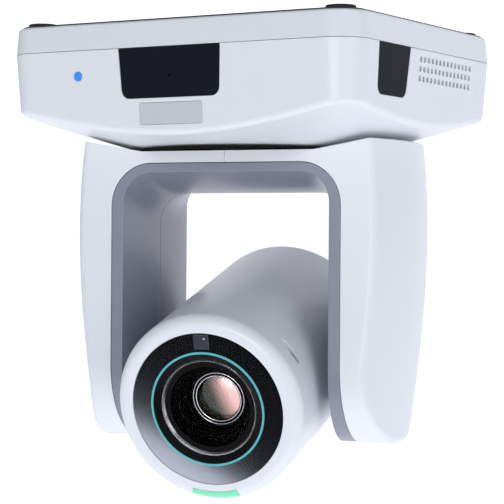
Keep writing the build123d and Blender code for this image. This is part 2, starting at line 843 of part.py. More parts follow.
def opening(grow):
    """The space between the arms, waisted midway from front to back."""
    with BuildPart() as space:
        for step in range(-mouth_steps, mouth_steps + 1):
            share = (step / mouth_steps) ** 2
            with BuildSketch(Plane.XZ.offset(step * yoke_depth / 2 / mouth_steps)):
                half_width = throat_half_width + share * (mouth_half_width - throat_half_width)
                top = throat_top + share * (mouth_top - throat_top)
                add(arch_outline(half_width + grow, top + grow, mouth_corner + grow))
        loft()
    return space.part


yoke_outer = yoke_body(0)
with BuildPart() as liner_block:
    with BuildSketch(Plane.XZ):
        add(arch_outline(liner_half_width, liner_top, liner_corner))
    extrude(amount=yoke_depth, both=True)
    with BuildSketch(Plane.YZ):
        add(side_profile(liner_sink))
    extrude(amount=yoke_depth, both=True, mode=Mode.INTERSECT)

with BuildPart() as liner_hollow:
    with BuildSketch(Plane.YZ):
        add(side_profile(liner_sink + liner_wall))
    extrude(amount=yoke_depth, both=True)
    add(opening(liner_wall), mode=Mode.SUBTRACT)

throat = opening(0)
for label, back in (("liner_front", False), ("liner_rear", True)):
    with BuildPart() as liner:
        add(liner_block.part)
        add(throat, mode=Mode.SUBTRACT)
        add(liner_hollow.part, mode=Mode.SUBTRACT)
        with BuildSketch(Plane.YZ):
            with Locations((0, tilt_z)):
                Circle(liner_hole_radius)
        extrude(amount=yoke_depth, both=True, mode=Mode.SUBTRACT)
        half_seam = liner_seam / 2
        if back:
            split(bisect_by=Plane.XZ.offset(-half_seam), keep=Keep.BOTTOM)
        else:
            split(bisect_by=Plane.XZ.offset(half_seam), keep=Keep.TOP)
    write_piece(liner, label, yoke_place)

# ---------------------------------------------------------------- yoke frame and tilt drive
tilt_centres = tilt_module * (tilt_gear_teeth + tilt_pinion_teeth) / 2
tilt_motor_z = tilt_z + tilt_centres
bar_low = hub_low - frame_thickness
frame_outer_x = frame_x + frame_thickness
tilt_bush_radius = tilt_shaft_radius + running_gap + tilt_bush_wall

with BuildPart() as yoke_frame:
    with BuildSketch(Plane.XY.offset(bar_low)):
        Rectangle(2 * frame_outer_x, frame_bar_width)
        Circle(hub_bore, mode=Mode.SUBTRACT)
        with PolarLocations(hub_screw_circle, 4, 45):
            Circle(hub_screw_radius + screw_clearance, mode=Mode.SUBTRACT)
    extrude(amount=frame_thickness)
    for side in (-1, 1):
        with BuildSketch(Plane(origin=(side * frame_x, 0, 0), x_dir=(0, 1, 0), z_dir=(1, 0, 0))):
            with Locations((0, (bar_low + frame_bottom) / 2)):
                Rectangle(frame_arm_width, bar_low - frame_bottom)
            with Locations((0, bar_low - frame_bar_width / 8)):
                Rectangle(frame_bar_width, frame_bar_width / 4)
            with Locations((0, tilt_z)):
                Circle(tilt_bush_radius + running_gap, mode=Mode.SUBTRACT)
            if side < 0:
                with Locations((0, tilt_motor_z)):
                    Circle(2 * tilt_motor_shaft, mode=Mode.SUBTRACT)
        extrude(amount=side * frame_thickness)
        for z in cover_screw_z:
            with BuildSketch(Plane.XZ.offset(-frame_arm_width / 2)):
                with Locations((side * (frame_x + tab_reach / 2), z)):
                    Rectangle(tab_reach, tab_height)
                with Locations((side * cover_screw_x, z)):
                    Circle(case_screw_radius, mode=Mode.SUBTRACT)
            extrude(amount=frame_thickness)
write_piece(yoke_frame, "yoke_frame", yoke_place)

with BuildPart() as tilt_bushes:
    for side in (-1, 1):
        with BuildSketch(Plane(origin=(side * frame_x, 0, tilt_z), x_dir=(0, 1, 0), z_dir=(1, 0, 0))):
            Circle(tilt_bush_radius)
        extrude(amount=side * (frame_thickness + tilt_bush_lip))
        with BuildSketch(Plane(origin=(side * frame_outer_x, 0, tilt_z), x_dir=(0, 1, 0), z_dir=(1, 0, 0))):
            Circle(tilt_bush_flange)
        extrude(amount=side * tilt_bush_lip)
    with BuildSketch(Plane.YZ):
        with Locations((0, tilt_z)):
            Circle(tilt_shaft_radius + running_gap)
    extrude(amount=2 * frame_outer_x, both=True, mode=Mode.SUBTRACT)
write_piece(tilt_bushes, "tilt_bushes", yoke_place)

with BuildPart() as tilt_motor:
    with BuildSketch(Plane.YZ.offset(-frame_outer_x)):
        with Locations((0, tilt_motor_z)):
            Circle(tilt_motor_radius)
    extrude(amount=-tilt_motor_height)
    fillet(faces().sort_by(Axis.X)[0].edges(), 1.5)
    with BuildSketch(Plane.YZ.offset(-frame_outer_x)):
        with Locations((0, tilt_motor_z)):
            Circle(tilt_motor_shaft + running_gap)
    extrude(amount=-tilt_motor_height * motor_bore_share, mode=Mode.SUBTRACT)
write_piece(tilt_motor, "tilt_motor", yoke_place)

# The gear turns with the head; its teeth are counted from the head's own Y axis.
tilt_tooth = rest_tilt - 90
with BuildPart() as tilt_pinion:
    pinion_tooth = meshing_tooth(tilt_pinion_teeth, tilt_gear_teeth, tilt_tooth) - 90
    with BuildSketch(Plane.YZ.offset(-tilt_gear_x)):
        with Locations((0, tilt_motor_z)):
            add(gear_outline(tilt_pinion_teeth, tilt_module, pinion_tooth))
    extrude(amount=-tilt_gear_height)
    with BuildSketch(Plane.YZ.offset(-tilt_gear_x)):
        with Locations((0, tilt_motor_z)):
            Circle(tilt_motor_shaft)
    extrude(amount=-(frame_outer_x - tilt_gear_x) - tilt_motor_height * motor_bore_share + 1)
write_piece(tilt_pinion, "tilt_pinion", yoke_place)

with BuildPart() as cover_pair:
    add(yoke_outer)
    add(yoke_body(yoke_wall), mode=Mode.SUBTRACT)
    with BuildSketch(Plane.XZ):
        add(arch_outline(liner_half_width + liner_gap, liner_top + liner_gap, liner_corner + liner_gap))
    extrude(amount=yoke_depth, both=True, mode=Mode.SUBTRACT)
    with BuildSketch(Plane.XY.offset(yoke_top)):
        Circle(yoke_hole_radius)
    extrude(amount=-2 * yoke_wall, mode=Mode.SUBTRACT)
    with BuildSketch(Plane.XZ.offset(-yoke_depth / 2)):
        for side in (-1, 1):
            with Locations(*[(side * cover_screw_x, z) for z in cover_screw_z]):
                Circle(cover_boss_radius)
    extrude(amount=yoke_depth / 2 - frame_arm_width / 2)
    for side in (-1, 1):
        for z in cover_screw_z:
            with Locations(Plane(origin=(side * cover_screw_x, yoke_depth / 2, z), z_dir=(0, 1, 0))):
                CounterSinkHole(
                    case_screw_radius + screw_clearance,
                    case_screw_head + screw_clearance,
                    depth=yoke_depth / 2,
                )

for label, keep, shift in (("left_cover", Keep.BOTTOM, -1), ("right_cover", Keep.TOP, 1)):
    with BuildPart() as cover:
        add(cover_pair.part)
        split(bisect_by=Plane.YZ.offset(shift * cover_seam / 2), keep=keep)
    write_piece(cover, label, yoke_place)

with BuildPart() as yoke_screws:
    with Locations(Plane.XY.offset(bar_low)):
        with PolarLocations(hub_screw_circle, 4, 45):
            Cylinder(2 * hub_screw_radius, hub_screw_radius, align=(Align.CENTER, Align.CENTER, Align.MAX))
            Cylinder(
                hub_screw_radius,
                frame_thickness + hub_screw_bite,
                align=(Align.CENTER, Align.CENTER, Align.MIN),
            )
    for side in (-1, 1):
        for z in cover_screw_z:
            with Locations(Plane(origin=(side * cover_screw_x, yoke_depth / 2, z), z_dir=(0, 1, 0))):
                Cylinder(
                    case_screw_radius,
                    yoke_depth / 2 - frame_arm_width / 2 + frame_thickness,
                    align=(Align.CENTER, Align.CENTER, Align.MAX),
                )
                Cone(
                    case_screw_radius,
                    case_screw_head,
                    case_screw_head - case_screw_radius,
                    align=(Align.CENTER, Align.CENTER, Align.MAX),
                )
                Box(
                    driver_slot_length,
                    driver_slot_width,
                    2 * driver_slot_width,
                    mode=Mode.SUBTRACT,
                )
                Box(
                    driver_slot_width,
                    driver_slot_length,
                    2 * driver_slot_width,
                    mode=Mode.SUBTRACT,
                )
write_piece(yoke_screws, "yoke_screws", yoke_place)

# ---------------------------------------------------------------- head, in its own frame:
# the tilt axis is X through the origin and the lens looks along -Y
front_y = -head_front
cap_y = head_back - cap_depth


def turned(points, fillets=()):
    """A piece turned about the lens axis from (radius, y) points; fillets are (point, size) pairs."""
    with BuildPart() as piece:
        with BuildSketch() as half:
            with BuildLine():
                Polyline(*points, close=True)
            make_face()
            for place, size in fillets:
                corner = Vector(*place)
                fillet(vertices().sort_by(lambda v: (Vector(v.X, v.Y) - corner).length)[0], size)
        revolve(axis=Axis.Y)
    return piece.part


seat_radius = bezel_radius + fit_gap
barrel_inner = head_radius - head_wall
bezel_front = front_y + bezel_sink
bezel_back = bezel_front + bezel_thickness
barrel_form = turned(
    [
        (seat_radius, front_y),
        (head_radius, front_y),
        (head_radius, cap_y - fit_gap),
        (barrel_inner, cap_y - fit_gap),
        (barrel_inner, bezel_back + 2 * seat_depth),
        (barrel_inner - seat_depth, bezel_back + seat_depth),
        (seat_radius - seat_width, bezel_back + seat_depth),
        (seat_radius - seat_width, bezel_back),
        (seat_radius, bezel_back),
    ],
    [((head_radius, front_y), head_front_round)],
)
head_solid = turned(
    [(0, front_y), (head_radius, front_y), (head_radius, head_back), (0, head_back)],
    [((head_radius, front_y), head_front_round), ((head_radius, head_back), head_back_round)],
)
tally_inner = turned(
    [
        (0, front_y + tally_thickness),
        (head_radius - tally_thickness, front_y + tally_thickness),
        (head_radius - tally_thickness, head_back),
        (0, head_back),
    ],
    [((head_radius - tally_thickness, front_y + tally_thickness), head_front_round - tally_thickness)],
)


def tally_form(grow):
    """The tally light's curved plate at the foot of the front ring."""
    with BuildPart() as plate:
        add(head_solid)
        add(tally_inner, mode=Mode.SUBTRACT)
        half = radians(tally_half_angle) + grow / head_radius
        reach = 2 * head_radius
        with BuildSketch(Plane.XZ.offset(-front_y + 1)):
            with BuildLine():
                Polyline(
                    (0, 0), (-reach * sin(half), -reach * cos(half)), (reach * sin(half), -reach * cos(half)),
                    close=True,
                )
            make_face()
            Circle(tally_low - grow, mode=Mode.SUBTRACT)
        extrude(amount=-tally_depth - grow - 1, mode=Mode.INTERSECT)
    return plate.part


dimple_plane = Plane(
    origin=(
        (head_radius - dimple_depth) * cos(radians(dimple_angle)),
        front_y + dimple_back,
        (head_radius - dimple_depth) * sin(radians(dimple_angle)),
    ),
    x_dir=(0, 1, 0),
    z_dir=(cos(radians(dimple_angle + dimple_lean)), 0, sin(radians(dimple_angle + dimple_lean))),
)
with BuildPart() as barrel:
    add(barrel_form)
    add(tally_form(fit_gap), mode=Mode.SUBTRACT)
    with BuildSketch(Plane.YZ):
        Circle(tilt_shaft_radius + liner_gap)
    extrude(amount=head_radius, both=True, mode=Mode.SUBTRACT)
    with BuildSketch(dimple_plane):
        Ellipse(dimple_width / 2, dimple_length / 2)
    extrude(amount=2 * dimple_length, mode=Mode.SUBTRACT)
write_piece(barrel, "head_barrel", head_place)

with BuildPart() as tally:
    add(tally_form(0))
write_piece(tally, "tally_light", head_place)

lip_outer = barrel_inner - fit_gap
lip_inner = lip_outer - head_wall
cap_hollow_y = head_back - head_wall
with BuildPart() as rear_cap:
    add(
        turned(
            [
                (0, head_back),
                (head_radius, head_back),
                (head_radius, cap_y),
                (lip_outer, cap_y),
                (lip_outer, cap_y - cap_lip),
                (lip_inner, cap_y - cap_lip),
                (lip_inner, cap_hollow_y),
                (0, cap_hollow_y),
            ],
            [
                ((head_radius, head_back), head_back_round),
                ((lip_inner, cap_hollow_y), head_back_round - head_wall),
            ],
        )
    )
    for x in (-head_post_x, head_post_x):
        for z in (-head_post_x, head_post_x):
            with Locations(Plane(origin=(x, head_back, z), z_dir=(0, 1, 0))):
                CounterSinkHole(
                    cap_screw_radius + screw_clearance, cap_screw_head + screw_clearance, depth=2 * head_wall
                )
write_piece(rear_cap, "rear_cap", head_place)

accent_inner = accent_radius - accent_width
with BuildPart() as bezel:
    add(
        turned(
            [
                (accent_radius + screw_clearance, bezel_front),
                (bezel_radius, bezel_front),
                (bezel_radius, bezel_back),
                (accent_radius + screw_clearance, bezel_back),
            ]
        )
    )
    with BuildSketch(Plane.XZ.offset(-bezel_front)):
        with Locations((0, (sensor_window_low + sensor_window_high) / 2)):
            Rectangle(
                sensor_window_width + fit_gap, sensor_window_high - sensor_window_low + fit_gap
            )
    extrude(amount=-bezel_thickness, mode=Mode.SUBTRACT)
write_piece(bezel, "bezel", head_place)

with BuildPart() as sensor_window:
    with BuildSketch(Plane.XZ.offset(-bezel_front)):
        with Locations((0, (sensor_window_low + sensor_window_high) / 2)):
            Rectangle(sensor_window_width, sensor_window_high - sensor_window_low)
    extrude(amount=-bezel_thickness / 2)
write_piece(sensor_window, "sensor_window", head_place)

with BuildPart() as accent_ring:
    add(
        turned(
            [
                (accent_inner, bezel_front - accent_proud),
                (accent_radius, bezel_front - accent_proud),
                (accent_radius, bezel_back),
                (accent_inner, bezel_back),
            ]
        )
    )
write_piece(accent_ring, "accent_ring", head_place)

hood_radius = accent_inner - screw_clearance
trim_front = front_y + trim_sink
trim_back = trim_front + trim_depth
glass_front = trim_back + lens_seat_gap
glass_back = glass_front + front_lens_edge
tube_front = front_y + lens_tube_start
with BuildPart() as lens_hood:
    add(
        turned(
            [
                (hood_radius, bezel_front),
                (hood_radius, glass_back + hood_tail),
                (front_lens_radius + hood_wall, glass_back + hood_tail),
                (front_lens_radius + hood_wall, glass_back),
                (front_lens_radius + fit_gap, glass_back),
                (front_lens_radius + fit_gap, glass_front),
                (front_lens_radius - lens_lip, glass_front - lens_lip_slope * lens_lip),
                (front_lens_radius - lens_lip, trim_back),
                (trim_radius + trim_width, trim_back),
                (trim_radius + trim_width, trim_front),
                (lens_mouth - fit_gap, bezel_front),
            ]
        )
    )
write_piece(lens_hood, "lens_hood", head_place)

with BuildPart() as trim_ring:
    add(
        turned(
            [
                (trim_radius, trim_front),
                (trim_radius + trim_width - screw_clearance, trim_front),
                (trim_radius + trim_width - screw_clearance, trim_back),
                (trim_radius - trim_width, trim_back),
            ]
        )
    )
write_piece(trim_ring, "trim_ring", head_place)


def lens_glass(radius, front, edge, bulge, back_bulge):
    """A biconvex lens; front is its rim's front plane, on the lens axis."""
    with BuildPart() as glass:
        with BuildSketch():
            with BuildLine():
                ThreePointArc((-radius, front), (0, front - bulge), (radius, front))
                Line((radius, front), (radius, front + edge))
                ThreePointArc((radius, front + edge), (0, front + edge + back_bulge), (-radius, front + edge))
                Line((-radius, front + edge), (-radius, front))
            make_face()
            with Locations((-radius, front)):
                Rectangle(2 * radius, 8 * radius, mode=Mode.SUBTRACT)
        revolve(axis=Axis.Y)
    return glass.part


with BuildPart() as front_lens:
    add(lens_glass(front_lens_radius, glass_front, front_lens_edge, front_lens_bulge, -front_lens_hollow))
write_piece(front_lens, "front_lens", head_place)

flange_y = front_y + lens_tube_end
slot_half = drive_arm / 2 + fit_gap
zoom_y = front_y + zoom_start
focus_y = front_y + focus_start
with BuildPart() as lens_barrel:
    mouth_radius = front_lens_radius - lens_lip
    rib_step = (mouth_radius - lens_tube_bore) / funnel_ribs
    rib_length = (tube_front - glass_back) / funnel_ribs
    bore = []
    for rib in range(funnel_ribs):
        radius = mouth_radius - rib * rib_step
        bore.append((radius, glass_back + rib * rib_length))
        bore.append((radius, glass_back + (rib + 1) * rib_length))
    outline = [(front_lens_radius + hood_wall - fit_gap, glass_back)]
    outline += bore
    outline += [
        (lens_tube_bore, tube_front),
        (lens_tube_bore, flange_y),
        (lens_tube_radius, flange_y),
        (lens_tube_radius, tube_front + funnel_wall),
        (front_lens_radius + hood_wall - fit_gap, glass_back + funnel_wall),
    ]
    add(turned(outline))
    with BuildSketch(Plane.XZ.offset(-flange_y)):
        Rectangle(2 * lens_flange_half_x, 2 * lens_flange_half_z)
        Circle(lens_tube_bore, mode=Mode.SUBTRACT)
    extrude(amount=-lens_flange_thickness)
    for side, start, travel in ((1, zoom_y, zoom_travel), (-1, focus_y, focus_travel)):
        slot_start = start + (carriage_length - drive_arm) / 2 - fit_gap
        with BuildSketch(Plane.XY.offset(side * lens_tube_bore / 2)):
            with Locations((0, slot_start + (travel + drive_arm + 2 * fit_gap) / 2)):
                Rectangle(2 * slot_half, travel + drive_arm + 2 * fit_gap)
        extrude(amount=side * lens_tube_radius, mode=Mode.SUBTRACT)
write_piece(lens_barrel, "lens_barrel", head_place)

carriages = (("zoom", 1, zoom_y, zoom_travel), ("focus", -1, focus_y, focus_travel))
motor_z = lens_tube_radius + drive_gap + lens_motor_height / 2
for name, side, start, travel in carriages:
    with BuildPart() as carriage:
        add(
            turned(
                [
                    (zoom_lens_radius - carriage_lip, start),
                    (lens_tube_bore - running_gap, start),
                    (lens_tube_bore - running_gap, start + carriage_length),
                    (zoom_lens_radius, start + carriage_length),
                    (zoom_lens_radius, start + carriage_lip + carriage_seat),
                    (zoom_lens_radius - carriage_lip, start + carriage_lip),
                ]
            )
        )
        arm_low = zoom_lens_radius + carriage_lip
        arm_high = lens_tube_radius + drive_gap / 2
        with Locations((0, start + carriage_length / 2, side * (arm_low + arm_high) / 2)):
            Box(drive_arm, drive_arm, arm_high - arm_low)
    write_piece(carriage, f"{name}_carriage", head_place)

    with BuildPart() as lens:
        add(
            lens_glass(
                zoom_lens_radius,
                start + carriage_lip + carriage_seat,
                inner_lens_edge,
                inner_lens_bulge,
                inner_lens_bulge,
            )
        )
    write_piece(lens, f"{name}_lens", head_place)

    with BuildPart() as lens_motor:
        with Locations((0, start + (carriage_length + travel) / 2, side * motor_z)):
            Box(lens_motor_width, carriage_length + travel, lens_motor_height)
        fillet(edges().filter_by(Axis.Y), 1.2)
    write_piece(lens_motor, f"{name}_motor", head_place)

sensor_board_y = flange_y + lens_flange_thickness
with BuildPart() as sensor_board:
    with BuildSketch(Plane.XZ.offset(-sensor_board_y)):
        RectangleRounded(sensor_board_size, sensor_board_size, 2)
    extrude(amount=-board_thickness)
    with BuildSketch(Plane.XZ.offset(-sensor_board_y)):
        Rectangle(image_sensor_width, image_sensor_height)
    extrude(amount=image_sensor_thickness)
write_piece(sensor_board, "sensor_board", head_place)

ear_outer = ear_x + ear_thickness
frame_plate_y = sensor_board_y + frame_plate_gap
with BuildPart() as head_frame:
    with BuildSketch(Plane.XZ.offset(-frame_plate_y)):
        Rectangle(2 * ear_outer, 2 * ear_half_z)
        RectangleRounded(2 * (head_post_x + head_post_radius), 2 * (head_post_x + head_post_radius), 3)
        Circle(hub_bore / 2, mode=Mode.SUBTRACT)
    extrude(amount=-frame_thickness)
    for side in (-1, 1):
        with BuildSketch(Plane(origin=(side * ear_x, 0, 0), x_dir=(0, 1, 0), z_dir=(1, 0, 0))):
            with Locations(((frame_plate_y - ear_half_z) / 2, 0)):
                Rectangle(frame_plate_y + ear_half_z, 2 * ear_half_z)
            Circle(tilt_shaft_radius, mode=Mode.SUBTRACT)
        extrude(amount=side * ear_thickness)
write_piece(head_frame, "head_frame", head_place)

post_length = cap_hollow_y - frame_plate_y - frame_thickness
with BuildPart() as head_posts:
    with BuildSketch(Plane.XZ.offset(-cap_hollow_y)):
        with GridLocations(2 * head_post_x, 2 * head_post_x, 2, 2):
            Circle(head_post_radius)
    extrude(amount=post_length)
    with BuildSketch(Plane.XZ.offset(-cap_hollow_y)):
        with GridLocations(2 * head_post_x, 2 * head_post_x, 2, 2):
            Circle(cap_screw_radius + screw_clearance)
    extrude(amount=cap_screw_length, mode=Mode.SUBTRACT)
write_piece(head_posts, "head_posts", head_place)

with BuildPart() as cap_screws:
    for x in (-head_post_x, head_post_x):
        for z in (-head_post_x, head_post_x):
            with Locations(Plane(origin=(x, head_back, z), z_dir=(0, 1, 0))):
                Cylinder(
                    cap_screw_radius,
                    cap_screw_length,
                    align=(Align.CENTER, Align.CENTER, Align.MAX),
                )
                Cone(
                    cap_screw_radius,
                    cap_screw_head,
                    cap_screw_head - cap_screw_radius,
                    align=(Align.CENTER, Align.CENTER, Align.MAX),
                )
                Box(driver_slot_width, cap_screw_head, 2 * driver_slot_width, mode=Mode.SUBTRACT)
                Box(cap_screw_head, driver_slot_width, 2 * driver_slot_width, mode=Mode.SUBTRACT)
write_piece(cap_screws, "cap_screws", head_place)

with BuildPart() as image_board:
    with BuildSketch(Plane.XZ.offset(-image_board_y)):
        RectangleRounded(image_board_size, image_board_size, 7)
        with GridLocations(2 * head_post_x, 2 * head_post_x, 2, 2):
            Circle(head_post_radius + fit_gap, mode=Mode.SUBTRACT)
    extrude(amount=-board_thickness)
write_piece(image_board, "image_board", head_place)

with BuildPart() as tilt_shafts:
    for side in (-1, 1):
        with BuildSketch(Plane(origin=(side * ear_x, 0, 0), x_dir=(0, 1, 0), z_dir=(1, 0, 0))):
            Circle(tilt_shaft_radius)
        extrude(amount=side * (tilt_shaft_end - ear_x))
        with BuildSketch(Plane(origin=(side * ear_outer, 0, 0), x_dir=(0, 1, 0), z_dir=(1, 0, 0))):
            Circle(tilt_shaft_radius + tilt_bush_wall)
        extrude(amount=side * tilt_bush_lip)
    with BuildSketch(Plane.YZ):
        Circle(tilt_shaft_bore)
    extrude(amount=tilt_shaft_end, both=True, mode=Mode.SUBTRACT)
write_piece(tilt_shafts, "tilt_shafts", head_place)

with BuildPart() as tilt_collars:
    with BuildSketch(Plane.YZ):
        Circle(collar_radius)
        Circle(tilt_shaft_radius + liner_gap, mode=Mode.SUBTRACT)
    extrude(amount=throat_half_width - collar_gap, both=True)
    add(head_solid, mode=Mode.SUBTRACT)
write_piece(tilt_collars, "tilt_collars", head_place)

with BuildPart() as tilt_gear:
    with BuildSketch(Plane.YZ.offset(-tilt_gear_x)):
        add(gear_outline(tilt_gear_teeth, tilt_module, 0))
        Circle(tilt_shaft_radius, mode=Mode.SUBTRACT)
    extrude(amount=-tilt_gear_height)
write_piece(tilt_gear, "tilt_gear", head_place)
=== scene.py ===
import bpy
import bmesh
from math import cos, pi, radians, sin
from mathutils import Matrix, Vector


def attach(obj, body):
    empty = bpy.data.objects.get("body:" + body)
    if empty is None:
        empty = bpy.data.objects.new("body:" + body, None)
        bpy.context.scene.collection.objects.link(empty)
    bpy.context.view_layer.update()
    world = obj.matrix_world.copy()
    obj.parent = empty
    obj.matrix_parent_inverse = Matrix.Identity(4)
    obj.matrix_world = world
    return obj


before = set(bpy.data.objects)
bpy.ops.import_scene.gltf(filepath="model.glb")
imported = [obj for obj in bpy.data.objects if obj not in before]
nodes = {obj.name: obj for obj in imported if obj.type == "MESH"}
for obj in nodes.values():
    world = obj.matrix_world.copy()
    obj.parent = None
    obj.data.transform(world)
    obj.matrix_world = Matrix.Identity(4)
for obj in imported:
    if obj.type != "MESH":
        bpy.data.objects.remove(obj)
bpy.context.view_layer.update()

# resting pose, the same as the frame's: pan about Z, then tilt about the tilt axis
restPan = radians(11.0)
restTilt = radians(15.9)
tiltAxisZ = -0.15375
yokeSpace = Matrix.Rotation(restPan, 4, "Z")
headSpace = yokeSpace @ Matrix.Translation((0, 0, tiltAxisZ)) @ Matrix.Rotation(restTilt, 4, "X")


# ---- shader groups ----
def newGroup(name, inputs, outputs):
    tree = bpy.data.node_groups.new(name, "ShaderNodeTree")
    for label, kind, value in inputs:
        socket = tree.interface.new_socket(label, in_out="INPUT", socket_type=kind)
        socket.default_value = value
    for label, kind in outputs:
        tree.interface.new_socket(label, in_out="OUTPUT", socket_type=kind)
    entry = tree.nodes.new("NodeGroupInput")
    result = tree.nodes.new("NodeGroupOutput")
    return tree, entry, result


def addNode(tree, kind, **settings):
    node = tree.nodes.new(kind)
    for label, value in settings.items():
        setattr(node, label, value)
    return node


def mathNode(tree, operation, first, second):
    node = addNode(tree, "ShaderNodeMath", operation=operation)
    for socket, value in zip(node.inputs, (first, second)):
        if isinstance(value, (int, float)):
            socket.default_value = value
        else:
            tree.links.new(value, socket)
    return node.outputs[0]


def rampBetween(tree, value, low, high):
    node = addNode(tree, "ShaderNodeMapRange")
    tree.links.new(value, node.inputs["Value"])
    node.inputs["From Min"].default_value = low
    node.inputs["From Max"].default_value = high
    return node.outputs["Result"]


def objectPoint(tree):
    return addNode(tree, "ShaderNodeTexCoord").outputs["Object"]


def buildSoftEdge():
    # rounds the sharp corners a mould leaves and lays the fine grain on top
    tree, entry, result = newGroup(
        "softEdge",
        [("Radius", "NodeSocketFloat", 0.0003), ("Grain Scale", "NodeSocketFloat", 2500.0),
         ("Grain Depth", "NodeSocketFloat", 0.00001)],
        [("Normal", "NodeSocketVector"), ("Edge", "NodeSocketFloat")])
    bevel = addNode(tree, "ShaderNodeBevel", samples=4)
    tree.links.new(entry.outputs["Radius"], bevel.inputs["Radius"])
    noise = addNode(tree, "ShaderNodeTexNoise")
    noise.inputs["Detail"].default_value = 3.0
    tree.links.new(objectPoint(tree), noise.inputs["Vector"])
    tree.links.new(entry.outputs["Grain Scale"], noise.inputs["Scale"])
    bump = addNode(tree, "ShaderNodeBump")
    tree.links.new(noise.outputs["Fac"], bump.inputs["Height"])
    tree.links.new(entry.outputs["Grain Depth"], bump.inputs["Distance"])
    tree.links.new(bevel.outputs["Normal"], bump.inputs["Normal"])
    tree.links.new(bump.outputs["Normal"], result.inputs["Normal"])
    geometry = addNode(tree, "ShaderNodeNewGeometry")
    dot = addNode(tree, "ShaderNodeVectorMath", operation="DOT_PRODUCT")
    tree.links.new(bevel.outputs["Normal"], dot.inputs[0])
    tree.links.new(geometry.outputs["Normal"], dot.inputs[1])
    edge = rampBetween(tree, dot.outputs["Value"], 0.995, 0.9)
    tree.links.new(edge, result.inputs["Edge"])
    return tree


def buildToneDrift():
    # slow drift of tone over a moulding, with a little settled dust on faces that look up, and a painted
    # highlight that lightens the edges
    tree, entry, result = newGroup(
        "toneDrift",
        [("Colour", "NodeSocketColor", (0.5, 0.5, 0.5, 1)), ("Drift", "NodeSocketFloat", 0.03),
         ("Dust", "NodeSocketFloat", 0.0), ("Edge", "NodeSocketFloat", 0.0),
         ("Edge Lift", "NodeSocketFloat", 0.0)],
        [("Colour", "NodeSocketColor"), ("Mask", "NodeSocketFloat")])
    point = objectPoint(tree)
    slow = addNode(tree, "ShaderNodeTexNoise")
    slow.inputs["Scale"].default_value = 22.0
    slow.inputs["Detail"].default_value = 4.0
    tree.links.new(point, slow.inputs["Vector"])
    darker = addNode(tree, "ShaderNodeMix", data_type="RGBA", blend_type="MULTIPLY")
    tree.links.new(mathNode(tree, "MULTIPLY", slow.outputs["Fac"], entry.outputs["Drift"]), darker.inputs[0])
    tree.links.new(entry.outputs["Colour"], darker.inputs[6])
    darker.inputs[7].default_value = (0.55, 0.56, 0.58, 1)
    speck = addNode(tree, "ShaderNodeTexNoise")
    speck.inputs["Scale"].default_value = 900.0
    speck.inputs["Detail"].default_value = 6.0
    tree.links.new(point, speck.inputs["Vector"])
    geometry = addNode(tree, "ShaderNodeNewGeometry")
    facing = addNode(tree, "ShaderNodeSeparateXYZ")
    tree.links.new(geometry.outputs["Normal"], facing.inputs[0])
    upward = rampBetween(tree, facing.outputs["Z"], 0.55, 1.0)
    specks = rampBetween(tree, speck.outputs["Fac"], 0.52, 0.7)
    dustMask = mathNode(tree, "MULTIPLY", mathNode(tree, "MULTIPLY", upward, specks), entry.outputs["Dust"])
    dusty = addNode(tree, "ShaderNodeMix", data_type="RGBA")
    tree.links.new(dustMask, dusty.inputs[0])
    tree.links.new(darker.outputs[2], dusty.inputs[6])
    dusty.inputs[7].default_value = (0.55, 0.54, 0.52, 1)
    # painted highlight: the colour is lightened along the edges
    highlightedEdges = addNode(tree, "ShaderNodeMix", data_type="RGBA", blend_type="SCREEN")
    edgeShare = mathNode(tree, "MULTIPLY", entry.outputs["Edge"], entry.outputs["Edge Lift"])
    tree.links.new(edgeShare, highlightedEdges.inputs[0])
    tree.links.new(dusty.outputs[2], highlightedEdges.inputs[6])
    highlightedEdges.inputs[7].default_value = (0.5, 0.5, 0.52, 1)
    tree.links.new(highlightedEdges.outputs[2], result.inputs["Colour"])
    tree.links.new(dustMask, result.inputs["Mask"])
    return tree


def buildHandledSheen():
    # faint smears and wiped patches, as a roughness that changes over the surface
    tree, entry, result = newGroup(
        "handledSheen",
        [("Roughness", "NodeSocketFloat", 0.4), ("Spread", "NodeSocketFloat", 0.06),
         ("Scale", "NodeSocketFloat", 60.0), ("Mask", "NodeSocketFloat", 0.0)],
        [("Roughness", "NodeSocketFloat")])
    noise = addNode(tree, "ShaderNodeTexNoise")
    noise.inputs["Detail"].default_value = 5.0
    noise.inputs["Distortion"].default_value = 0.6
    tree.links.new(objectPoint(tree), noise.inputs["Vector"])
    tree.links.new(entry.outputs["Scale"], noise.inputs["Scale"])
    swing = mathNode(tree, "SUBTRACT", noise.outputs["Fac"], 0.5)
    spread = mathNode(tree, "MULTIPLY", swing, entry.outputs["Spread"])
    base = mathNode(tree, "ADD", entry.outputs["Roughness"], spread)
    tree.links.new(mathNode(tree, "ADD", base, mathNode(tree, "MULTIPLY", entry.outputs["Mask"], 0.4)),
                   result.inputs["Roughness"])
    return tree


